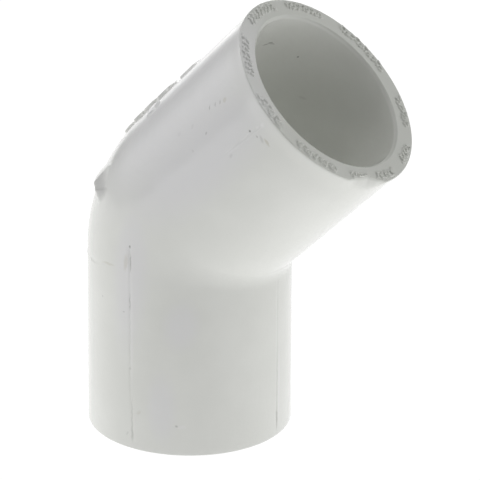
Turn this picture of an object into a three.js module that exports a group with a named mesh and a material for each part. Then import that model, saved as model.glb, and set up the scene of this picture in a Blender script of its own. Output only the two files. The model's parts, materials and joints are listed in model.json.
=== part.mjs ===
// A 45 degree elbow for rigid PVC pipe, injection moulded in one piece, with a solvent-weld socket at each end.
// Millimetres, +Z up. The elbow stands on the mouth of its lower socket, the upper socket leans toward +X,
// and the XZ plane is its plane of symmetry. The origin is at the bottom centre of its bounding box.
//
// The one moulding is made as its three regions, which meet face to face at the two pipe stops:
// lower_socket, bend and upper_socket.
import * as THREE from "three";
import { ParametricGeometry } from "three/addons/geometries/ParametricGeometry.js";

// Driving dimensions: 3/4 inch trade size, for pipe or conduit of 26.7 mm outside diameter.
const BEND_ANGLE = Math.PI / 4; // between the two socket axes
const CENTRE_TO_FACE = 34.8; // from where the axes meet to each mouth
const SOCKET_DEPTH = 25.4; // from the mouth to the pipe stop
const SOCKET_MOUTH_RADIUS = 13.435; // the socket is a shallow taper that grips the pipe
const SOCKET_STOP_RADIUS = 13.285;
const WATERWAY_RADIUS = 11.2; // the way through between the two pipe stops
const HUB_MOUTH_RADIUS = 16.55; // outside of the socket at its mouth
const BODY_RADIUS = 16.35; // outside from the pipe stop inward
const LEAD_IN_RADIUS = 0.6; // rounds the inner edge of the mouth
const RIM_EDGE_RADIUS = 0.15; // rounds the outer edge of the mouth
const THROAT_RADIUS = 1.3; // smallest radius on the inside of the bend
const HEEL_CENTRE_OFFSET = 13.5; // centreline radius that the outside of the bend follows

// Fineness of the facets
const AROUND = 72; // steps around each axis
const ROUND_STEPS = 2; // pairs of steps on each rounded edge of a mouth
const BEND_STEPS = 12; // steps along the bend

const PVC_WHITE = new THREE.MeshStandardMaterial({ color: 0xe9eae8, roughness: 0.42, metalness: 0 });
const HALF_BEND_TAN = Math.tan(BEND_ANGLE / 2);

// The wall of a socket, cut along its axis: x is the radius and y the height above the mouth.
function socketOutline() {
  const outline = new THREE.Path();
  outline.moveTo(SOCKET_STOP_RADIUS, SOCKET_DEPTH);
  outline.lineTo(SOCKET_MOUTH_RADIUS, LEAD_IN_RADIUS);
  const leadInCentre = SOCKET_MOUTH_RADIUS + LEAD_IN_RADIUS;
  outline.absarc(leadInCentre, LEAD_IN_RADIUS, LEAD_IN_RADIUS, Math.PI, 1.5 * Math.PI, false);
  const rimEdgeCentre = HUB_MOUTH_RADIUS - RIM_EDGE_RADIUS;
  outline.absarc(rimEdgeCentre, RIM_EDGE_RADIUS, RIM_EDGE_RADIUS, 1.5 * Math.PI, 2 * Math.PI, false);
  outline.lineTo(BODY_RADIUS, SOCKET_DEPTH);
  outline.lineTo(SOCKET_STOP_RADIUS, SOCKET_DEPTH);
  return outline.getPoints(ROUND_STEPS);
}

// A socket standing on its mouth, with the mouth's centre at the origin and the pipe stop above it.
function socketMesh(name) {
  const geometry = new THREE.LatheGeometry(socketOutline(), AROUND);
  geometry.rotateX(Math.PI / 2);
  const mesh = new THREE.Mesh(geometry, PVC_WHITE);
  mesh.name = name;
  return mesh;
}

// A curve that stays just above the larger of two values, and turns smoothly from one to the other.
function smoothMax(a, b, blend) {
  return 0.5 * (a + b + Math.hypot(a - b, blend));
}

// A point on one generator of a tube that runs straight up, round a fillet and straight on along the upper axis.
// `across` is the generator's distance from the lower axis along +X, `turn` is how far round the fillet the point
// lies, and `along` is how far past it the point lies on a straight stretch. target.y is kept.
function generatorPoint(across, filletRadius, turn, along, target) {
  const bendStart = CENTRE_TO_FACE - across * HALF_BEND_TAN - filletRadius * HALF_BEND_TAN;
  const x = across + filletRadius * (1 - Math.cos(turn)) + along * Math.sin(turn);
  const z = bendStart + filletRadius * Math.sin(turn) + along * Math.cos(turn);
  return target.set(x, target.y, z);
}

// The outside of the bend: station 0 is the lower pipe stop, the last station is the upper pipe stop, and the
// stations between them go round the fillet. The throat turns sharply and the heel turns wide.
function outsidePoint(angle, station, target) {
  const across = BODY_RADIUS * Math.cos(angle);
  target.y = BODY_RADIUS * Math.sin(angle);
  const filletRadius = smoothMax(THROAT_RADIUS, HEEL_CENTRE_OFFSET - across, THROAT_RADIUS);
  const straight = CENTRE_TO_FACE - SOCKET_DEPTH - (across + filletRadius) * HALF_BEND_TAN;
  if (station === 0) return generatorPoint(across, filletRadius, 0, -straight, target);
  if (station > BEND_STEPS + 1) return generatorPoint(across, filletRadius, BEND_ANGLE, straight, target);
  return generatorPoint(across, filletRadius, ((station - 1) / BEND_STEPS) * BEND_ANGLE, 0, target);
}

// The waterway: two straight bores that meet in a mitre, followed from the upper pipe stop back to the lower one.
function waterwayPoint(angle, station, target) {
  const across = WATERWAY_RADIUS * Math.cos(angle);
  target.y = WATERWAY_RADIUS * Math.sin(angle);
  const straight = CENTRE_TO_FACE - SOCKET_DEPTH - across * HALF_BEND_TAN;
  if (station === 0) return generatorPoint(across, 0, BEND_ANGLE, straight, target);
  return generatorPoint(across, 0, 0, station === 1 ? 0 : -straight, target);
}

// The region between the pipe stops is one closed surface: up the outside, in across the upper stop, down the
// waterway and out across the lower stop.
function bendMesh(name) {
  const outsideStations = BEND_STEPS + 3;
  const waterwayStations = 3;
  const stations = outsideStations + waterwayStations;
  const surface = (u, v, target) => {
    const angle = 2 * Math.PI * u;
    const station = Math.round(v * stations) % stations;
    if (station < outsideStations) outsidePoint(angle, station, target);
    else waterwayPoint(angle, station - outsideStations, target);
  };
  const mesh = new THREE.Mesh(new ParametricGeometry(surface, AROUND, stations), PVC_WHITE);
  mesh.name = name;
  return mesh;
}

// Both sockets are alike: the upper one is the lower one turned about the point where the axes meet.
function buildElbow() {
  const elbow = new THREE.Group();
  elbow.add(socketMesh("lower_socket"));
  elbow.add(bendMesh("bend"));

  const upperEnd = new THREE.Group();
  upperEnd.position.z = CENTRE_TO_FACE;
  upperEnd.rotation.y = Math.PI + BEND_ANGLE;
  const upperSocket = socketMesh("upper_socket");
  upperSocket.position.z = -CENTRE_TO_FACE;
  upperEnd.add(upperSocket);
  elbow.add(upperEnd);

  const box = new THREE.Box3().setFromObject(elbow, true);
  elbow.position.x = -(box.min.x + box.max.x) / 2;
  return elbow;
}

const part = new THREE.Group();
part.name = "pvc_elbow_45";
part.add(buildElbow());

export default part;
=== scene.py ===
"""Looks of a white injection-moulded PVC elbow, 45 degrees, with a slip socket at each end.

The CAD frame gives the sizes and the place. One continuous moulded skin replaces its three
regions and adds what the mould leaves behind: parting lines, the ring of a slide round the heel,
raised marks on the rim and the spine, and the stub of the gate. A nick in the rim and the scuffs
of handling come on top.
"""

import json
import math

import bpy
import numpy as np
from mathutils import Matrix, Vector


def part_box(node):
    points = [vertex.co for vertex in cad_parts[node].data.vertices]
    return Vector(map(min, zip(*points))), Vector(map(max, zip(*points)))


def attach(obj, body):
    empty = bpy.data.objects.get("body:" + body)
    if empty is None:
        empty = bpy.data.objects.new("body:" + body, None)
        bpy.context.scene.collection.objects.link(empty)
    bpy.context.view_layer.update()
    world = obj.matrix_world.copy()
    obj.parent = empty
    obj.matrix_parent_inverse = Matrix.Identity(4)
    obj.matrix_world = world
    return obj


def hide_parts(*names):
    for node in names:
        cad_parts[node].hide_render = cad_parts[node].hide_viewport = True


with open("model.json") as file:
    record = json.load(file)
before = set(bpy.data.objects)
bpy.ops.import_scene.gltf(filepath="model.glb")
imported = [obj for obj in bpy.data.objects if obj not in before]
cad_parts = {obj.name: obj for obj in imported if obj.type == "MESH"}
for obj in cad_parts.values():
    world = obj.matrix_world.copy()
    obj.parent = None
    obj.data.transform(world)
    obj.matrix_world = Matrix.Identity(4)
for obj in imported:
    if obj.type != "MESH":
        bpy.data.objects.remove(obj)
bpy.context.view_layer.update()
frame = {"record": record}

# --------------------------------------------------------------------------------------------------
# Sizes, in millimetres and degrees. The skin is made in the elbow's own frame: the origin is the
# centre of the lower mouth, +Z is the lower socket's axis, and the upper socket leans toward +X.
# An angle round either axis is 0 at the throat, -90 on the side toward -Y and 180 at the heel.
# Both legs are made alike, as the lower one, and the upper one is mirrored in the mitre plane.
# --------------------------------------------------------------------------------------------------
MM = 0.001
mounts = {mount["name"]: mount for mount in frame["record"]["mounts"]}
hub_low, hub_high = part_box("lower_socket")
bend_low, bend_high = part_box("bend")
upper_axis = Vector(mounts["upper_mouth"]["axis"])

BEND = math.atan2(upper_axis.x, upper_axis.z)  # in radians
AXIS_X = (hub_low.x + hub_high.x) / 2 / MM
HUB_RADIUS = (hub_high.y - hub_low.y) / 2 / MM
BODY_RADIUS = (bend_high.y - bend_low.y) / 2 / MM
SOCKET_DEPTH = (hub_high.z - hub_low.z) / MM
CENTRE_TO_FACE = mounts["upper_mouth"]["pos_m"][2] / (1 + math.cos(BEND)) / MM

SOCKET_MOUTH_RADIUS = 13.435  # the socket is a shallow taper that grips the pipe
SOCKET_STOP_RADIUS = 13.285
WATERWAY_RADIUS = 11.2  # the way through between the two pipe stops
LEAD_IN = 0.4  # the chamfer on the inner edge of a mouth
LEAD_IN_EDGE = 0.16  # rounds the chamfer's edge on the face
LEAD_IN_FOOT = 0.6  # rounds its foot in the bore
RIM_EDGE = 0.15  # rounds the outer edge of a mouth
STOP_EDGE = 0.25  # rounds the edges of a pipe stop
THROAT_RADIUS = 2.0  # smallest fillet, on the inside of the bend
HEEL_CENTRE_OFFSET = 13.5  # centreline radius that the outside of the bend follows
FILLET_BLEND = 7.0  # how softly the throat's fillet widens into the heel's
RIM_LIP = 0.14  # the upper rim's outer edge stands this proud of the hub
RIM_BAND = 2.6  # how far down the outside the fine mesh of the upper rim reaches
RIM_BAND_HEIGHTS = (2.2, 1.8, 1.45, 1.15, 0.9, 0.7, 0.55, 0.42)  # its rows on the outside
RIM_FACE_STEP = 0.105  # between its rows on the face

HALF_TAN = math.tan(BEND / 2)
AXES_MEET = np.array([0.0, 0.0, CENTRE_TO_FACE])
MITRE_NORMAL = np.array([math.sin(BEND / 2), 0.0, math.cos(BEND / 2)])
UPPER_AXIS = np.array([math.sin(BEND), 0.0, math.cos(BEND)])


# --------------------------------------------------------------------------------------------------
# Curves that the shapes share
# --------------------------------------------------------------------------------------------------
def smooth_step(low, high, value):
    """0 below low, 1 above high, and an even curve between them."""
    share = np.clip((value - low) / (high - low), 0.0, 1.0)
    return share * share * (3 - 2 * share)


def smooth_max(a, b, blend):
    """Just above the larger of a and b, turning smoothly from one to the other."""
    return 0.5 * (a + b + np.hypot(a - b, blend))


def window(value, low, high, soft):
    """1 between low and high, fading to 0 over `soft` outside them."""
    return smooth_step(low - soft, low, value) * (1 - smooth_step(high, high + soft, value))


def turn_difference(angle, centre):
    """How far one angle is from another, in degrees, from -180 to 180."""
    return (angle - centre + 180) % 360 - 180


def to_upper(points):
    """Mirrors points of the lower leg in the mitre plane, which gives the same points of the upper leg."""
    height = (points - AXES_MEET) @ MITRE_NORMAL
    return points - 2 * height[..., None] * MITRE_NORMAL


def ring(radius, height, angles):
    """Points round the lower axis at one radius and height, which may differ from angle to angle."""
    turn = np.radians(angles)
    radius = radius + 0 * turn
    return np.stack([radius * np.cos(turn), radius * np.sin(turn), height + 0 * turn], -1)


# --------------------------------------------------------------------------------------------------
# The outside of one leg, from its mouth to the mitre plane
# --------------------------------------------------------------------------------------------------
def hub_radius(distance):
    """Outside radius at a distance from the mouth: a slight taper from the mouth to the pipe stop."""
    share = np.clip((distance - RIM_EDGE) / (SOCKET_DEPTH - RIM_EDGE), 0, 1)
    return HUB_RADIUS + (BODY_RADIUS - HUB_RADIUS) * share


def fillet(angles):
    """Radius of the fillet that bends the line at each angle: small in the throat, wide at the heel."""
    heel_radius = HEEL_CENTRE_OFFSET - BODY_RADIUS * np.cos(np.radians(angles))
    return smooth_max(THROAT_RADIUS, heel_radius, FILLET_BLEND)


def bend_start(angles):
    """Height at which the line at each angle leaves the straight hub."""
    reach = BODY_RADIUS * np.cos(np.radians(angles)) + fillet(angles)
    return CENTRE_TO_FACE - reach * HALF_TAN


def bend_row(share, angles):
    """Points on the fillet, from its start at share 0 to the mitre plane at share 1."""
    turn = share * BEND / 2
    radius = fillet(angles)
    points = ring(BODY_RADIUS, bend_start(angles) + radius * math.sin(turn), angles)
    points[:, 0] += radius * (1 - math.cos(turn))
    return points


JOIN_OFFSETS = (3, 2, 1.2, 0.7, 0.45, 0.3, 0.2, 0.1, 0)  # slanted rows this far before the bend's start
JOIN_START = float(bend_start(0.0)) - JOIN_OFFSETS[0] - 0.5  # the height of the last level row
JOIN_SHARES = np.linspace(0, 1, 10)[1:-1]  # rows between that one and the first slanted one


def leg_rows(angles, hub_distances, bend_shares):
    """Rows of the outside of a leg from its mouth to the mitre plane, and how far each point is
    from the mouth along the surface. The hub's distances end at JOIN_START."""
    rows = [ring(hub_radius(distance), distance, angles) for distance in hub_distances]
    distances = [distance + 0 * angles for distance in hub_distances]
    first_slanted = bend_start(angles) - JOIN_OFFSETS[0]
    heights = [JOIN_START + (first_slanted - JOIN_START) * share for share in JOIN_SHARES]
    heights += [bend_start(angles) - offset for offset in JOIN_OFFSETS]
    for height in heights:
        rows.append(ring(hub_radius(height), height, angles))
        distances.append(height)
    for share in bend_shares:
        rows.append(bend_row(share, angles))
        distances.append(bend_start(angles) + fillet(angles) * share * BEND / 2)
    return np.array(rows), np.array(distances)


def displaced(points, heights):
    """A grid of points moved along its own normals. Columns go round and close, and rows go from
    mouth to mouth."""
    around = np.roll(points, -1, 1) - np.roll(points, 1, 1)
    along = np.gradient(points, axis=0)
    normals = np.cross(around, along)
    normals /= np.linalg.norm(normals, axis=2, keepdims=True)
    return points + normals * heights[..., None]


# --------------------------------------------------------------------------------------------------
# What the mould leaves on the outside, as a height in millimetres above the plain surface
# --------------------------------------------------------------------------------------------------
LINE_WIDTH = 0.13  # half the width of a parting line
SIDE_LINE_START = 1.6  # the side parting lines of the lower leg run from this height
SIDE_LINE_TOP = 34.2  # to this one
SIDE_LINE_DRIFT = 0.6  # how far they drift toward the heel
SIDE_LINE_DRIFT_END = 14  # and how far from the mouth they stop drifting
SIDE_LINE_DEPTH = 0.035
SIDE_LINE_SCORE = 0.05  # both their ends are this much deeper
SIDE_SCORE_FROM = 30.6  # the upper one from this height up
SIDE_SCORE_TO = 3.2  # and the lower one up to this height
THROAT_LINE_START = 1.4  # distances from the lower mouth
THROAT_LINE_TOP = 27.0
THROAT_LINE_DEPTH = 0.03
THROAT_LINE_SCORE = 0.06  # its lower end is this much deeper
THROAT_SCORE_FADE = (2.5, 7.5)  # and that fades out between these
RING_DEPTH = 0.08
RING_WIDTH = 0.18
RING_RISE = 2.4  # the ring round the heel turns up this far toward each side line
RING_RISE_FROM = 130.0  # degrees round from the throat, where it starts to
RING_RISE_TURN = 28.0
RING_FADE = (93, 100)  # degrees round from the throat, where the ring itself begins
SPINE_LINE_DEPTH = 0.022
UPPER_LINE_START = 0.9  # distances from the upper mouth
UPPER_SIDE_LINE_END = 9.5
UPPER_SIDE_LINE_HEIGHT = 0.06
GATE_NEAR = -130.0  # degrees round the bend, where the gate's stub starts on the near side
GATE_START = 34.6  # along the heel from the upper mouth
GATE_END = 38.6
GATE_WIDTH = 9.0  # round the bend
GATE_TIP = 3.6  # round the bend from its near side, where it starts first
GATE_NEAR_SKEW = 0.24  # how much later it starts to each side of that
GATE_FAR_SKEW = 0.76
GATE_END_SKEW = 0.12  # how much later it ends toward the far side
GATE_RISE = 0.27  # slopes of its four sides
GATE_DROP = 1.6
GATE_NEAR_SLOPE = 0.4
GATE_FAR_SLOPE = 0.5
PAD_CORNER = 0.3  # radius of a pad's corners
PAD_WALL = 0.22  # how wide its sloping edge is
SPINE_PADS = (
    # distance from the upper mouth, half length, centre and half width in degrees round the
    # spine, height
    (16.5, 2.0, 183, 7, 0.34),
    (20.1, 0.6, 183, 7, 0.32),
    (23.0, 1.4, 183, 7, 0.54),
    (26.5, 1.3, 183, 7, 0.60),
    (29.6, 1.1, 183, 7, 0.54),
    (32.4, 1.0, 183, 7, 0.46),
    (23.3, 1.1, 204, 4, 0.30),
)


def line_mark(offset, depth, width=LINE_WIDTH):
    """A fine groove along the curve where offset is 0, with a slightly raised lip beside it."""
    lip = 0.35 * np.exp(-(((offset - 2.4 * width) / (1.6 * width)) ** 2))
    return depth * (lip - np.exp(-((offset / width) ** 2)))


def side_line_offset(x, distance):
    """Distance from the side parting line, which drifts toward the heel as it leaves the mouth."""
    return x + SIDE_LINE_DRIFT * smooth_step(0, SIDE_LINE_DRIFT_END, distance)


def lower_relief(angles, distances, points):
    """Parting lines of the lower leg: one down each side, one down the throat, and the ring."""
    x, y, z = np.moveaxis(points, -1, 0)
    scored = window(z, SIDE_SCORE_FROM, SIDE_LINE_TOP, 0.8) + window(z, SIDE_LINE_START, SIDE_SCORE_TO, 1.6)
    side = line_mark(-side_line_offset(x, z), SIDE_LINE_DEPTH + SIDE_LINE_SCORE * scored)
    side *= window(z, SIDE_LINE_START, SIDE_LINE_TOP, 0.35)

    throat_scored = 1 - smooth_step(*THROAT_SCORE_FADE, distances)
    throat = line_mark(y, THROAT_LINE_DEPTH + THROAT_LINE_SCORE * throat_scored)
    throat *= window(distances, THROAT_LINE_START, THROAT_LINE_TOP, 0.4) * (x > 0)

    turn = np.abs(turn_difference(angles, 0))
    rise = RING_RISE * np.clip((RING_RISE_FROM - turn) / RING_RISE_TURN, 0, 1.2) ** 2
    heel_ring = line_mark(bend_start(angles) + rise - distances, RING_DEPTH, RING_WIDTH)
    heel_ring *= smooth_step(*RING_FADE, turn)
    return side + throat + heel_ring


def pads(angles, distances):
    """Plain raised pads in a row along the spine of the bend and the upper leg."""
    height = 0 * distances
    for pad_distance, half_length, centre, half_width, pad_height in SPINE_PADS:
        across = np.radians(turn_difference(angles, centre)) * BODY_RADIUS
        along = distances - pad_distance
        half_across = math.radians(half_width) * BODY_RADIUS
        over_across = np.maximum(np.abs(across) - half_across + PAD_CORNER, 0)
        over_along = np.maximum(np.abs(along) - half_length + PAD_CORNER, 0)
        outside = np.hypot(over_across, over_along) - PAD_CORNER
        height = np.maximum(height, pad_height * (1 - smooth_step(0, PAD_WALL, outside)))
    return height


def gate(angles, distances):
    """The stub where the runner was torn off: a wedge that rises along the heel, then drops."""
    across = np.radians(turn_difference(GATE_NEAR, angles)) * BODY_RADIUS + 0 * distances
    start = GATE_START + GATE_FAR_SKEW * np.maximum(across - GATE_TIP, 0)
    start = start + GATE_NEAR_SKEW * np.maximum(GATE_TIP - across, 0)
    rise = GATE_RISE * (distances - start)
    drop = GATE_DROP * (GATE_END + GATE_END_SKEW * across - distances)
    near = GATE_NEAR_SLOPE * across
    far = GATE_FAR_SLOPE * (GATE_WIDTH - across)
    return np.maximum(np.minimum.reduce([rise, drop, near, far]), 0)


def upper_relief(angles, distances, points):
    """Raised pads, the gate, the parting line along the spine, and a raised line on each side."""
    x, y, z = np.moveaxis(points, -1, 0)
    parting = line_mark(y, SPINE_LINE_DEPTH) * smooth_step(0.5, UPPER_LINE_START, distances) * (x < 0)
    side = -line_mark(side_line_offset(x, distances), UPPER_SIDE_LINE_HEIGHT)
    side *= window(distances, UPPER_LINE_START, UPPER_SIDE_LINE_END, 2.0)
    raised = pads(angles, distances) + gate(angles, distances)
    return raised + (parting + side) * (np.abs(raised) < 0.01)


# --------------------------------------------------------------------------------------------------
# The marks moulded into the upper rim, and the nick in its edge
# --------------------------------------------------------------------------------------------------
MARK_GROUPS = (
    # degrees round the rim, from and to
    (172, 201),
    (-145, -117),
    (-104, -83),
    (-72, -44),
    (-34, -20),
    (-13, 3),
    (16, 32),
    (47, 68),
    (85, 121),
    (134, 162),
)
MARK_HEIGHT = 0.26
MARK_WALL = 0.12  # how wide a mark's sloping edge is
MARK_CENTRE = 15.62  # radius that the marks lie round
MARK_SPREAD = 1.25  # their middles lie in a band this wide
MARK_PITCH = 0.37  # from one to the next
MARK_HALF_TURN = 2.5  # degrees that a mark can reach to each side of its centre
STROKE_LENGTH = 0.52
STROKE = 0.12  # half the width of a stroke
GOLDEN = 0.618034  # its multiples, less their whole parts, fall evenly and without a pattern
NICK_CENTRE = -21.5  # degrees
NICK_HALF_WIDTH = 14.0  # degrees
NICK_INWARD = 1.05  # how far the nick reaches across the face
NICK_DOWN = 2.6  # and down the outside
NICK_CRUSH = 0.35  # width of the strip of the face that the pressed-in material is crushed into


def rim_marks(angles, reach):
    """Height of the small raised marks. `reach` is each point's radius, measured on over the rim's
    outer edge and down the outside."""
    height = 0 * reach
    number = 0
    for start, end in MARK_GROUPS:
        count = round(math.radians(end - start) * MARK_CENTRE / MARK_PITCH)
        for i in range(count):
            centre = start + (end - start) * (i + 0.5) / count
            outward = MARK_CENTRE + MARK_SPREAD * ((number * GOLDEN) % 1 - 0.5)
            lean = math.pi * ((number * GOLDEN * GOLDEN) % 1)
            columns = np.nonzero(np.abs(turn_difference(angles, centre)) < MARK_HALF_TURN)[0]
            across = np.radians(turn_difference(angles[columns], centre)) * MARK_CENTRE
            mark = stroke_height(across[None, :], reach[:, columns] - outward, lean)
            height[:, columns] = np.maximum(height[:, columns], mark)
            number += 1
    return height


def stroke_height(across, outward, lean):
    """Height of one short straight stroke with round ends."""
    along = across * math.cos(lean) + outward * math.sin(lean)
    beside = across * math.sin(lean) - outward * math.cos(lean)
    gap = np.hypot(np.maximum(np.abs(along) - STROKE_LENGTH / 2, 0), beside)
    return MARK_HEIGHT * (1 - smooth_step(STROKE, STROKE + MARK_WALL, gap))


def nicked(points, angles):
    """Presses the edge in to the nick's hollow, which runs out smoothly down the outside."""
    x, y, z = np.moveaxis(points, -1, 0)
    radius = np.hypot(x, y)
    turn = turn_difference(angles, NICK_CENTRE) / NICK_HALF_WIDTH
    ragged = 1 + 0.07 * np.sin(7.0 * turn + 0.5) + 0.02 * np.sin(19.0 * turn)
    depth = ragged * np.clip(1 - np.abs(turn) ** 1.7, 0, 1)
    runout = NICK_DOWN * np.sqrt(depth)
    share = np.clip(z / np.maximum(runout, 1e-6), 0, 1)
    outer = HUB_RADIUS + RIM_LIP
    limit = outer - (RIM_LIP + NICK_INWARD) * depth * (1 - share) ** 2
    crush_start = limit - NICK_CRUSH
    crushed = crush_start + (radius - crush_start) * NICK_CRUSH / (outer - crush_start)
    radius_now = np.where((z < runout) & (radius > crush_start), crushed, radius)
    return np.stack([x * radius_now / radius, y * radius_now / radius, z], -1)


# --------------------------------------------------------------------------------------------------
# The skin: rings of points joined into one closed surface
# --------------------------------------------------------------------------------------------------
class Skin:
    """Closed rings, each with its angles from -180 up, and the faces that join each to the next."""

    def __init__(self):
        self.points = []
        self.faces = []
        self.rings = []
        self.count = 0

    def add(self, points, angles):
        """Adds a ring and joins it to the one before."""
        self.rings.append((self.count, angles))
        self.points.append(points)
        self.count += len(points)
        if len(self.rings) > 1:
            self.join(self.rings[-2], self.rings[-1])

    def add_rows(self, rows, angles):
        """Adds rings that all have the same angles."""
        for row in rows:
            self.add(row, angles)

    def close(self):
        """Joins the last ring to the first."""
        self.join(self.rings[-1], self.rings[0])

    def join(self, ring_a, ring_b):
        """Faces between two rings: quads where their angles are alike."""
        first_a, angles_a = ring_a
        first_b, angles_b = ring_b
        if np.array_equal(angles_a, angles_b):
            here = np.arange(len(angles_a))
            after = np.roll(here, -1)
            quads = np.stack([first_a + here, first_a + after, first_b + after, first_b + here], -1)
            self.faces += quads.tolist()
        else:
            self.zip(first_a, angles_a, first_b, angles_b)

    def zip(self, first_a, angles_a, first_b, angles_b):
        """Triangles between two rings whose points stand at different angles."""
        count_a, count_b = len(angles_a), len(angles_b)
        next_a = np.append(angles_a[1:], angles_a[0] + 360)
        next_b = np.append(angles_b[1:], angles_b[0] + 360)
        i = j = 0
        while i < count_a or j < count_b:
            a, b = first_a + i % count_a, first_b + j % count_b
            if j == count_b or (i < count_a and next_a[i] <= next_b[j]):
                i += 1
                self.faces.append((a, first_a + i % count_a, b))
            else:
                j += 1
                self.faces.append((a, first_b + j % count_b, b))

    def mesh(self, name):
        """A Blender mesh of the surface, in metres and in the part's frame."""
        points = np.concatenate(self.points)
        points[:, 0] += AXIS_X
        mesh = bpy.data.meshes.new(name)
        mesh.from_pydata((points * MM).tolist(), [], self.faces)
        mesh.validate()
        return mesh


def spaced_angles(coarse, fine_spans=()):
    """Angles round an axis from -180 up, `coarse` apart, and closer together within each fine
    span, given as (centre, half width, step)."""
    angles = np.arange(-180, 180, coarse)
    for centre, half, step in fine_spans:
        fine = centre + np.arange(0, half + step / 2, step)
        fine = np.concatenate([2 * centre - fine[:0:-1], fine])
        angles = angles[np.abs(turn_difference(angles, centre)) > fine[-1] - centre + 0.4 * coarse]
        angles = np.concatenate([angles, (fine + 180) % 360 - 180])
    return np.unique(angles.round(4))


def steps(*stretches):
    """Values along several stretches, each given as (from, to, step), where each stretch starts
    at the end of the one before."""
    values = []
    for start, end, step in stretches:
        count = max(1, round(abs(end - start) / step))
        values += np.linspace(start, end, count, endpoint=False).tolist()
    return values + [stretches[-1][1]]


def arc_profile(centre_radius, centre_height, radius, start, end, count):
    """(radius, height) pairs along an arc, with its angles in degrees."""
    turns = np.radians(np.linspace(start, end, count))
    return [(centre_radius + radius * math.cos(t), centre_height + radius * math.sin(t)) for t in turns]


FINE_SPANS = (
    # centre, half width and step in degrees: the heel, the two side lines and the throat line
    (180, 50, 0.9),
    (90, 5, 0.35),
    (-90, 5, 0.35),
    (0, 2.1, 0.35),
)
OUTSIDE_ANGLES = spaced_angles(2.0, FINE_SPANS)
RIM_ANGLES = spaced_angles(360 / 900)
INSIDE_ANGLES = spaced_angles(2.5)
LOWER_BEND_SHARES = (0.04, 1, 0.04)
UPPER_BEND_SHARES = (0.03, 0.97, 0.029)  # the mitre plane's own row is the lower leg's


def outside_rows():
    """The outside from the lower rim's edge to the upper rim's band."""
    lower_hub = steps((RIM_EDGE, 2.0, 0.6), (2.0, JOIN_START, 1.0))
    upper_hub = steps((RIM_BAND, 15.0, 1.0), (15.0, JOIN_START, 0.33))
    lower_points, lower_distances = leg_rows(OUTSIDE_ANGLES, lower_hub, steps(LOWER_BEND_SHARES))
    upper_points, upper_distances = leg_rows(OUTSIDE_ANGLES, upper_hub, steps(UPPER_BEND_SHARES))
    lower_heights = lower_relief(OUTSIDE_ANGLES, lower_distances, lower_points)
    upper_heights = upper_relief(OUTSIDE_ANGLES, upper_distances, upper_points)
    points = np.concatenate([lower_points, to_upper(upper_points)[::-1]])
    heights = np.concatenate([lower_heights, upper_heights[::-1]])
    return displaced(points, heights)


def rim_band_rows():
    """The upper rim with its marks and nick: up the outside, over the edge, across the face and
    into the bore."""
    outside = [(hub_radius(height) + rim_lip(height), height) for height in RIM_BAND_HEIGHTS]
    edge = arc_profile(HUB_RADIUS + RIM_LIP - RIM_EDGE, RIM_EDGE, RIM_EDGE, 0, -90, 6)
    lead_in = lead_in_profile(3)
    face = [(radius, 0.0) for radius in steps((edge[-1][0], lead_in[0][0], RIM_FACE_STEP))[1:-1]]
    profile = np.array(outside + edge + face + lead_in)
    lengths = np.hypot(*np.diff(profile, axis=0).T)
    travelled = np.concatenate([[0], np.cumsum(lengths)])
    face_start = len(outside) + len(edge) - 1
    reach = profile[face_start, 0] + travelled[face_start] - travelled
    points = np.array([ring(radius, height, RIM_ANGLES) for radius, height in profile])
    marks = rim_marks(RIM_ANGLES, np.repeat(reach[:, None], len(RIM_ANGLES), 1))
    marks[-1] = 0
    lifted = displaced(points, -marks)
    return to_upper(nicked(lifted, RIM_ANGLES))


def rim_lip(height):
    """How far the upper rim's outer edge stands proud of the hub at a height below the face."""
    return RIM_LIP * (1 - smooth_step(RIM_EDGE, RIM_BAND, height))


def lead_in_profile(count):
    """(radius, height) pairs from the face over the chamfer and into the bore, with `count` to
    each rounded corner."""
    face_radius = SOCKET_MOUTH_RADIUS + LEAD_IN + LEAD_IN_EDGE * HALF_TAN
    edge = arc_profile(face_radius, LEAD_IN_EDGE, LEAD_IN_EDGE, -90, -135, count)
    foot_height = LEAD_IN + LEAD_IN_FOOT * HALF_TAN
    foot = arc_profile(SOCKET_MOUTH_RADIUS + LEAD_IN_FOOT, foot_height, LEAD_IN_FOOT, -135, -180, count)
    return edge + foot


def bore_profile():
    """(radius, height) pairs inside a socket, from behind the lead-in to the waterway."""
    top = LEAD_IN + LEAD_IN_FOOT * HALF_TAN
    bottom = SOCKET_DEPTH - 0.4
    radii = np.linspace(SOCKET_MOUTH_RADIUS, SOCKET_STOP_RADIUS, 14)
    bore = list(zip(radii, np.linspace(top, bottom, 14)))
    corner_height, edge_height = SOCKET_DEPTH - STOP_EDGE, SOCKET_DEPTH + STOP_EDGE
    corner = arc_profile(SOCKET_STOP_RADIUS - STOP_EDGE, corner_height, STOP_EDGE, 0, 90, 4)
    edge = arc_profile(WATERWAY_RADIUS + STOP_EDGE, edge_height, STOP_EDGE, -90, -180, 4)
    return bore[1:] + corner + edge


def waterway_rows(angles):
    """The lower half of the waterway, from the pipe stop's edge to the mitre plane."""
    start = SOCKET_DEPTH + STOP_EDGE
    mitre = CENTRE_TO_FACE - WATERWAY_RADIUS * np.cos(np.radians(angles)) * HALF_TAN
    shares = np.linspace(0, 1, 9)[1:]
    return [ring(WATERWAY_RADIUS, start + (mitre - start) * share, angles) for share in shares]


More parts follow.
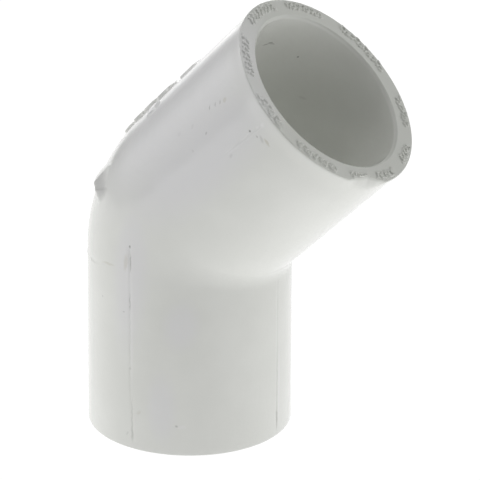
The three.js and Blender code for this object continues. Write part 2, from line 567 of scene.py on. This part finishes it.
def make_skin():
    """The whole moulding as one closed surface."""
    skin = Skin()
    skin.add_rows(outside_rows(), OUTSIDE_ANGLES)
    skin.add_rows(rim_band_rows(), RIM_ANGLES)

    socket = [ring(radius, height, INSIDE_ANGLES) for radius, height in bore_profile()]
    inside = np.array(socket + waterway_rows(INSIDE_ANGLES))
    skin.add_rows(to_upper(inside), INSIDE_ANGLES)
    skin.add_rows(inside[-2::-1], INSIDE_ANGLES)

    lead_in = lead_in_profile(4)
    for radius, height in lead_in[::-1]:
        skin.add(ring(radius, height, INSIDE_ANGLES), INSIDE_ANGLES)
    for radius in np.linspace(lead_in[0][0], HUB_RADIUS - RIM_EDGE, 5)[1:-1]:
        skin.add(ring(radius, 0.0, OUTSIDE_ANGLES), OUTSIDE_ANGLES)
    for radius, height in arc_profile(HUB_RADIUS - RIM_EDGE, RIM_EDGE, RIM_EDGE, -90, 0, 6)[:-1]:
        skin.add(ring(radius, height, OUTSIDE_ANGLES), OUTSIDE_ANGLES)
    skin.close()
    return skin.mesh("elbow_skin")


skin_mesh = make_skin()
skin_mesh.shade_smooth()
skin_mesh.set_sharp_from_angle(angle=math.radians(50))
elbow = bpy.data.objects.new("elbow_skin", skin_mesh)
bpy.context.scene.collection.objects.link(elbow)


# --------------------------------------------------------------------------------------------------
# Material: moulded white PVC, a little cloudy and uneven, with the dirt and scuffs of handling, and some
# painted shade, a painted highlight and a painted cast of light
# --------------------------------------------------------------------------------------------------
PVC_WHITE = (0.884, 0.894, 0.854, 1)
PVC_SHADE = (0.856, 0.866, 0.825, 1)
RIM_PAINTED_SHADE = (0.727, 0.741, 0.695, 1)  # painted shade: the upper rim's face is darkened for the shade that falls on it
TINTS = {
    # painted light: a neutral tint for the colour of the light on the near side
    "painted_light_cast": (0.868, 0.868, 0.872, 1),
    # pale chalk scuffs, and also a painted highlight beside the throat line
    "chalk_and_highlight": (0.93, 0.93, 0.92, 1),
    # painted shade: a grey for the shade on the gate's stub
    "painted_gate_shade": (0.57, 0.57, 0.56, 1),
    "clay": (0.56, 0.53, 0.42, 1),
    "soot": (0.12, 0.115, 0.10, 1),
}
MARK_REACH = 1.2  # how far a surface mark reaches into and out of the wall
MARK_RAGGED = 0.22  # how far its outline wanders
MARK_FADE = (0.3, 1.1)  # it fades out between these shares of its half length and half width
FACE_FADE = (-0.5, -0.1)  # the painted shade on the upper rim comes in between these heights over its face
NOISE_SPAN = (0.35, 0.65)  # a noise's values lie mostly between these
ROUGHNESS = (0.11, 0.18)
BUMP_HEIGHT = 0.05
GRAIN_SHARE = 0.12  # the grain's height beside the lumps'
# How fine each noise is, in features to the metre
CLOUD_SCALE = 90.0
GLOSS_SCALE = 260.0
LUMP_SCALE = 420.0
RAGGED_SCALE = 1100.0
GRAIN_SCALE = 2600.0
SURFACE_MARKS = (
    # leg or bore, degrees round it, distance from its mouth, lean (0 along it, 90 round it), half
    # length, half width, tint, strength
    # Painted light: these five give the near side of both legs the neutral colour of the light there
    ("upper", -104, 15.0, 0, 22.0, 9.0, "painted_light_cast", 1.0),
    ("upper", -134, 16.0, 0, 26.0, 16.0, "painted_light_cast", 1.0),
    ("lower", -92, 30.0, 0, 16.0, 4.0, "painted_light_cast", 0.8),
    ("lower", -62, 22.0, 10, 5.0, 3.5, "painted_light_cast", 0.7),
    ("lower", -73, 8.0, 0, 7.0, 3.0, "painted_light_cast", 0.7),
    ("upper", -90.6, 1.9, 20, 0.6, 0.35, "chalk_and_highlight", 0.8),
    ("upper", -91.2, 2.9, 0, 0.5, 0.35, "chalk_and_highlight", 0.8),
    ("upper", -92.0, 5.6, 0, 1.3, 0.2, "chalk_and_highlight", 0.6),
    ("upper", -92.5, 9.0, 0, 1.9, 0.2, "chalk_and_highlight", 0.4),
    ("upper", -82.5, 3.3, 80, 0.9, 0.3, "clay", 0.45),
    ("upper", -115.0, 5.7, 60, 0.5, 0.4, "clay", 0.3),
    ("lower", -95.3, 31.4, 0, 1.8, 0.5, "clay", 0.28),
    ("lower", -86.5, 6.5, 40, 0.7, 0.35, "clay", 0.16),
    ("lower", -109.0, 30.1, 84, 2.0, 0.25, "clay", 0.28),
    ("lower", -61.5, 4.9, 80, 0.9, 0.4, "chalk_and_highlight", 0.5),
    ("lower", -90.8, 22.0, 0, 14.0, 0.35, "chalk_and_highlight", 0.35),
    # Painted highlight: a pale band beside the throat line's groove
    ("lower", 2.3, 8.0, 0, 9.0, 0.4, "chalk_and_highlight", 0.6),
    ("lower", -95.0, 34.2, 0, 0.3, 0.26, "soot", 0.5),
    ("lower", -92.3, 31.6, -11, 1.9, 0.18, "soot", 0.42),
    ("lower", -92.0, 25.0, 0, 1.9, 0.16, "soot", 0.25),
    ("lower", -92.0, 19.0, 0, 12.0, 0.14, "soot", 0.05),
    ("lower", -92.0, 13.7, 0, 0.28, 0.22, "soot", 0.14),
    ("lower", -90.8, 5.3, 0, 4.6, 0.2, "soot", 0.12),
    ("lower", -90.6, 2.5, 0, 1.4, 0.3, "soot", 0.16),
    ("lower", -96.5, 23.1, 80, 0.3, 0.15, "soot", 0.2),
    ("lower", -114.0, 24.1, 0, 0.25, 0.22, "soot", 0.2),
    ("lower", -64.5, 5.1, 0, 0.28, 0.25, "soot", 0.3),
    ("lower", -94.0, 2.5, 30, 0.5, 0.25, "soot", 0.12),
    ("lower", 0.0, 8.5, 0, 8.5, 0.18, "soot", 0.14),
    ("lower", 0.0, 3.2, 0, 2.6, 0.26, "soot", 0.24),
    ("upper", -92.5, 4.4, 0, 0.28, 0.24, "soot", 0.6),
    ("upper", -88.0, 4.0, 80, 0.35, 0.22, "soot", 0.3),
    ("upper", -85.3, 3.6, 70, 0.9, 0.28, "soot", 0.17),
    ("upper", -89.5, 9.8, 20, 0.5, 0.3, "soot", 0.1),
    ("upper", -118.0, 9.0, 60, 0.5, 0.16, "soot", 0.3),
    ("upper", -117.0, 7.8, 60, 0.4, 0.16, "soot", 0.2),
    ("upper", -116.0, 6.7, 60, 0.45, 0.22, "soot", 0.25),
    ("upper", -108.0, 11.5, 30, 0.35, 0.24, "soot", 0.26),
    ("upper", -116.5, 13.5, 30, 0.5, 0.3, "soot", 0.07),
    ("upper", -105.5, 15.3, 30, 0.3, 0.3, "soot", 0.1),
    ("upper", -119.0, 16.6, 30, 0.6, 0.4, "soot", 0.05),
    ("bore", 158.5, 7.2, 55, 0.6, 0.2, "soot", 0.5),
    ("bore", 156.0, 6.7, 75, 0.6, 0.22, "soot", 0.5),
    ("bore", 153.5, 6.9, 85, 0.6, 0.2, "soot", 0.4),
    ("bore", 129.5, 7.4, 20, 0.25, 0.22, "soot", 0.5),
    ("bore", 106.0, 13.0, 60, 0.9, 0.3, "soot", 0.1),
    # Painted shade: darkens the gate's stub for the shade on its near facet
    ("upper", -138.0, 37.2, 0, 2.4, 3.0, "painted_gate_shade", 0.9),
    ("lower", 60.0, 12.0, 35, 1.6, 0.18, "soot", 0.18),
    ("lower", 140.0, 8.0, 70, 1.2, 0.3, "clay", 0.3),
    ("lower", 165.0, 19.0, 10, 0.3, 0.25, "soot", 0.4),
    ("upper", 95.0, 6.0, 50, 1.1, 0.25, "soot", 0.22),
    ("upper", 70.0, 14.0, 20, 1.5, 0.4, "chalk_and_highlight", 0.5),
    ("upper", 35.0, 9.0, 80, 0.9, 0.3, "clay", 0.3),
)


def mark_place(leg, angle, distance, lean):
    """A mark's centre in metres, and the turn from the scene's axes to its own, which run along
    it, across it and out of the surface."""
    if leg == "bore":
        bend_turn = 0.0
        centre = ring(SOCKET_MOUTH_RADIUS, distance, np.array([float(angle)]))[0]
    else:
        past_start = distance - bend_start(angle)
        bend_turn = max(past_start, 0) / fillet(angle)
        centre = bend_row(bend_turn / (BEND / 2), np.array([float(angle)]))[0]
        centre[2] += min(past_start, 0)
    turn, lean = math.radians(angle), math.radians(lean)
    around = np.array([-math.sin(turn), math.cos(turn), 0.0])
    straight = np.array([math.sin(bend_turn), 0.0, math.cos(bend_turn)])
    outward = np.cross(around, straight)
    along = math.cos(lean) * straight + math.sin(lean) * around
    corners = np.array([centre, centre + along, centre + outward])
    if leg != "lower":
        corners = to_upper(corners)
    centre, along, outward = corners[0], corners[1] - corners[0], corners[2] - corners[0]
    across = np.cross(outward, along)
    axes = Matrix((along, across, outward)).transposed()
    return (centre + np.array([AXIS_X, 0, 0])) * MM, axes.to_euler()


def noise_node(nodes, links, position, scale, detail):
    """A noise over the positions given, in metres."""
    node = nodes.new("ShaderNodeTexNoise")
    node.inputs["Scale"].default_value = scale
    node.inputs["Detail"].default_value = detail
    links.new(position, node.inputs["Vector"])
    return node


def spread(nodes, links, value, low, high, to_low, to_high):
    """Takes a value from between low and high to between to_low and to_high, along a smooth curve."""
    node = nodes.new("ShaderNodeMapRange")
    node.interpolation_type = "SMOOTHSTEP"
    links.new(value, node.inputs["Value"])
    names = ("From Min", "From Max", "To Min", "To Max")
    for name, number in zip(names, (low, high, to_low, to_high)):
        node.inputs[name].default_value = number
    return node.outputs["Result"]


def mark_strength(nodes, links, position, tint):
    """How strongly the marks of one tint cover each point."""
    total = None
    for leg, angle, distance, lean, half_length, half_width, mark_tint, strength in SURFACE_MARKS:
        if mark_tint != tint:
            continue
        centre, axes = mark_place(leg, angle, distance, lean)
        place = nodes.new("ShaderNodeMapping")
        place.vector_type = "TEXTURE"
        place.inputs["Location"].default_value = centre
        place.inputs["Rotation"].default_value = axes
        reach = max(MARK_REACH, half_width * 0.6)
        place.inputs["Scale"].default_value = (half_length * MM, half_width * MM, reach * MM)
        links.new(position, place.inputs["Vector"])
        size = nodes.new("ShaderNodeVectorMath")
        size.operation = "LENGTH"
        links.new(place.outputs["Vector"], size.inputs[0])
        cover = spread(nodes, links, size.outputs["Value"], *MARK_FADE, strength, 0.0)
        total = cover if total is None else math_node(nodes, links, "MAXIMUM", total, cover)
    return total


def tinted(nodes, links, strength, colour, tint):
    """A colour, a socket or a plain one, covered by a tint."""
    mix = nodes.new("ShaderNodeMix")
    mix.data_type = "RGBA"
    links.new(strength, mix.inputs["Factor"])
    if isinstance(colour, bpy.types.NodeSocket):
        links.new(colour, mix.inputs["A"])
    else:
        mix.inputs["A"].default_value = colour
    mix.inputs["B"].default_value = tint
    return mix.outputs["Result"]


def wandering(nodes, links, position):
    """Positions moved a little at random, so that a mark's outline is ragged."""
    noise = noise_node(nodes, links, position, RAGGED_SCALE, 1.0)
    offset = nodes.new("ShaderNodeVectorMath")
    offset.operation = "MULTIPLY_ADD"
    links.new(noise.outputs["Color"], offset.inputs[0])
    offset.inputs[1].default_value = (2 * MARK_RAGGED * MM,) * 3
    offset.inputs[2].default_value = (-MARK_RAGGED * MM,) * 3
    moved = nodes.new("ShaderNodeVectorMath")
    links.new(position, moved.inputs[0])
    links.new(offset.outputs[0], moved.inputs[1])
    return moved.outputs[0]


def above_rim(nodes, links, position):
    """Height above the upper mouth's face, in metres."""
    height = nodes.new("ShaderNodeVectorMath")
    height.operation = "DOT_PRODUCT"
    links.new(position, height.inputs[0])
    height.inputs[1].default_value = UPPER_AXIS
    face_height = CENTRE_TO_FACE + (CENTRE_TO_FACE * UPPER_AXIS[2] + AXIS_X * UPPER_AXIS[0])
    return math_node(nodes, links, "SUBTRACT", height.outputs["Value"], face_height * MM)


def pvc_material():
    """White PVC: soft clouds of tone and gloss, a lumpy moulded surface, painted shade on the upper rim's
    face, and the marks, among them painted shade on the gate, a painted highlight by the throat line and a
    painted cast of light on the near side.
    """
    material = bpy.data.materials.new("white_pvc")
    material.use_nodes = True
    nodes, links = material.node_tree.nodes, material.node_tree.links
    shader = nodes["Principled BSDF"]
    shader.inputs["IOR"].default_value = 1.53
    position = nodes.new("ShaderNodeTexCoord").outputs["Object"]

    clouds = noise_node(nodes, links, position, CLOUD_SCALE, 3.0).outputs["Fac"]
    cloudy = spread(nodes, links, clouds, *NOISE_SPAN, 0, 1)
    colour = tinted(nodes, links, cloudy, PVC_WHITE, PVC_SHADE)
    # Painted shade: the upper rim's face is given a darker tone for the shade that falls on it
    face_height = above_rim(nodes, links, position)
    face = spread(nodes, links, face_height, FACE_FADE[0] * MM, FACE_FADE[1] * MM, 0, 1)
    colour = tinted(nodes, links, face, colour, RIM_PAINTED_SHADE)
    ragged = wandering(nodes, links, position)
    # Among the tints are painted light and shade: a cast of light on the near side, shade on the gate and a
    # highlight by the throat line
    for name, tint in TINTS.items():
        colour = tinted(nodes, links, mark_strength(nodes, links, ragged, name), colour, tint)
    links.new(colour, shader.inputs["Base Color"])

    gloss = noise_node(nodes, links, position, GLOSS_SCALE, 4.0).outputs["Fac"]
    links.new(spread(nodes, links, gloss, *NOISE_SPAN, *ROUGHNESS), shader.inputs["Roughness"])

    lumps = noise_node(nodes, links, position, LUMP_SCALE, 2.0).outputs["Fac"]
    grain = noise_node(nodes, links, position, GRAIN_SCALE, 2.0).outputs["Fac"]
    height = math_node(nodes, links, "MULTIPLY_ADD", grain, GRAIN_SHARE, lumps)
    bump = nodes.new("ShaderNodeBump")
    bump.inputs["Distance"].default_value = BUMP_HEIGHT * MM
    links.new(height, bump.inputs["Height"])
    links.new(bump.outputs["Normal"], shader.inputs["Normal"])
    return material


def math_node(nodes, links, operation, *values):
    """A Math node fed with sockets and plain numbers, and its output."""
    node = nodes.new("ShaderNodeMath")
    node.operation = operation
    for socket, value in zip(node.inputs, values):
        if isinstance(value, bpy.types.NodeSocket):
            links.new(value, socket)
        else:
            socket.default_value = value
    return node.outputs[0]


skin_mesh.materials.append(pvc_material())

# --------------------------------------------------------------------------------------------------
# Stage, light and camera
# --------------------------------------------------------------------------------------------------
CAMERA_AZIMUTH = math.radians(31.5)
CAMERA_ELEVATION = math.radians(20.836)
CAMERA_ROLL = math.radians(0.516)
CAMERA_DISTANCE = 389.914
CAMERA_TARGET = Vector((9.36 + AXIS_X, 0, 32.107))
CAMERA_LENS = 185.637
FLOOR_HALF_WIDTH = 0.45  # in metres
FLOOR_LIGHT = 0.98


def camera_axes():
    """Right, up and back directions of the camera."""
    cos_elevation = math.cos(CAMERA_ELEVATION)
    back = Vector((
        math.sin(CAMERA_AZIMUTH) * cos_elevation,
        -math.cos(CAMERA_AZIMUTH) * cos_elevation,
        math.sin(CAMERA_ELEVATION),
    ))
    right = Vector((0, 0, 1)).cross(back).normalized()
    up = back.cross(right)
    turn = Matrix.Rotation(CAMERA_ROLL, 3, back)
    return turn @ right, turn @ up, back


def make_camera():
    """The scene's camera, at the photograph's viewing angle."""
    right, up, back = camera_axes()
    data = bpy.data.cameras.new("camera")
    data.lens = CAMERA_LENS
    data.sensor_width = 36
    data.clip_start = 0.01
    camera = bpy.data.objects.new("camera", data)
    matrix = Matrix((right, up, back)).transposed().to_4x4()
    matrix.translation = (CAMERA_TARGET + CAMERA_DISTANCE * back) * MM
    camera.matrix_world = matrix
    bpy.context.scene.collection.objects.link(camera)
    bpy.context.scene.camera = camera


def make_floor():
    """A pale square that gives light of its own, so that it looks as white as the background."""
    mesh = bpy.data.meshes.new("floor")
    quarters = ((-1, -1), (1, -1), (1, 1), (-1, 1))
    corners = [(FLOOR_HALF_WIDTH * x, FLOOR_HALF_WIDTH * y, 0) for x, y in quarters]
    mesh.from_pydata(corners, [], [(0, 1, 2, 3)])
    floor = bpy.data.objects.new("floor", mesh)
    bpy.context.scene.collection.objects.link(floor)
    material = bpy.data.materials.new("floor")
    material.use_nodes = True
    shader = material.node_tree.nodes["Principled BSDF"]
    shader.inputs["Base Color"].default_value = (0.05, 0.05, 0.05, 1)
    shader.inputs["Roughness"].default_value = 0.9
    shader.inputs["Emission Color"].default_value = (1, 1, 1, 1)
    shader.inputs["Emission Strength"].default_value = FLOOR_LIGHT
    mesh.materials.append(material)


SOFT_LIGHTS = (
    # azimuth from the camera's side round to its right, elevation, tightness, strength
    (90, 5, 12.0, 1.6),
    (58, 45, 12.0, 0.8),
    (-90, 28, 12.0, 1.85),
    (-120, 28, 20.0, 2.8),
    (180, 5, 24.0, 6.0),
    (120, 54, 12.0, 1.6),
    (0, 90, 12.0, 1.15),
)


def make_world():
    """Soft lights all round the object, each a wide round lobe. The camera itself sees a plain
    white background."""
    world = bpy.data.worlds.new("world")
    bpy.context.scene.world = world
    world.use_nodes = True
    nodes, links = world.node_tree.nodes, world.node_tree.links
    nodes.clear()
    direction = nodes.new("ShaderNodeTexCoord").outputs["Generated"]
    total = None
    for azimuth, elevation, tightness, strength in SOFT_LIGHTS:
        turn = CAMERA_AZIMUTH + math.radians(azimuth)
        rise = math.radians(elevation)
        middle = (math.sin(turn) * math.cos(rise), -math.cos(turn) * math.cos(rise), math.sin(rise))
        toward = nodes.new("ShaderNodeVectorMath")
        toward.operation = "DOT_PRODUCT"
        links.new(direction, toward.inputs[0])
        toward.inputs[1].default_value = middle
        fall = math_node(nodes, links, "MULTIPLY_ADD", toward.outputs["Value"], tightness, -tightness)
        lobe = math_node(nodes, links, "EXPONENT", fall)
        scaled = math_node(nodes, links, "MULTIPLY", lobe, strength)
        total = scaled if total is None else math_node(nodes, links, "ADD", total, scaled)
    light = nodes.new("ShaderNodeBackground")
    links.new(total, light.inputs["Strength"])
    white = nodes.new("ShaderNodeBackground")
    white.inputs["Color"].default_value = (1, 1, 1, 1)
    path = nodes.new("ShaderNodeLightPath")
    mix = nodes.new("ShaderNodeMixShader")
    links.new(path.outputs["Is Camera Ray"], mix.inputs["Fac"])
    links.new(light.outputs[0], mix.inputs[1])
    links.new(white.outputs[0], mix.inputs[2])
    output = nodes.new("ShaderNodeOutputWorld")
    links.new(mix.outputs[0], output.inputs["Surface"])


make_camera()
make_floor()
make_world()
bpy.context.scene.view_settings.view_transform = "Standard"

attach(elbow, "root")
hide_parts("lower_socket", "bend", "upper_socket")
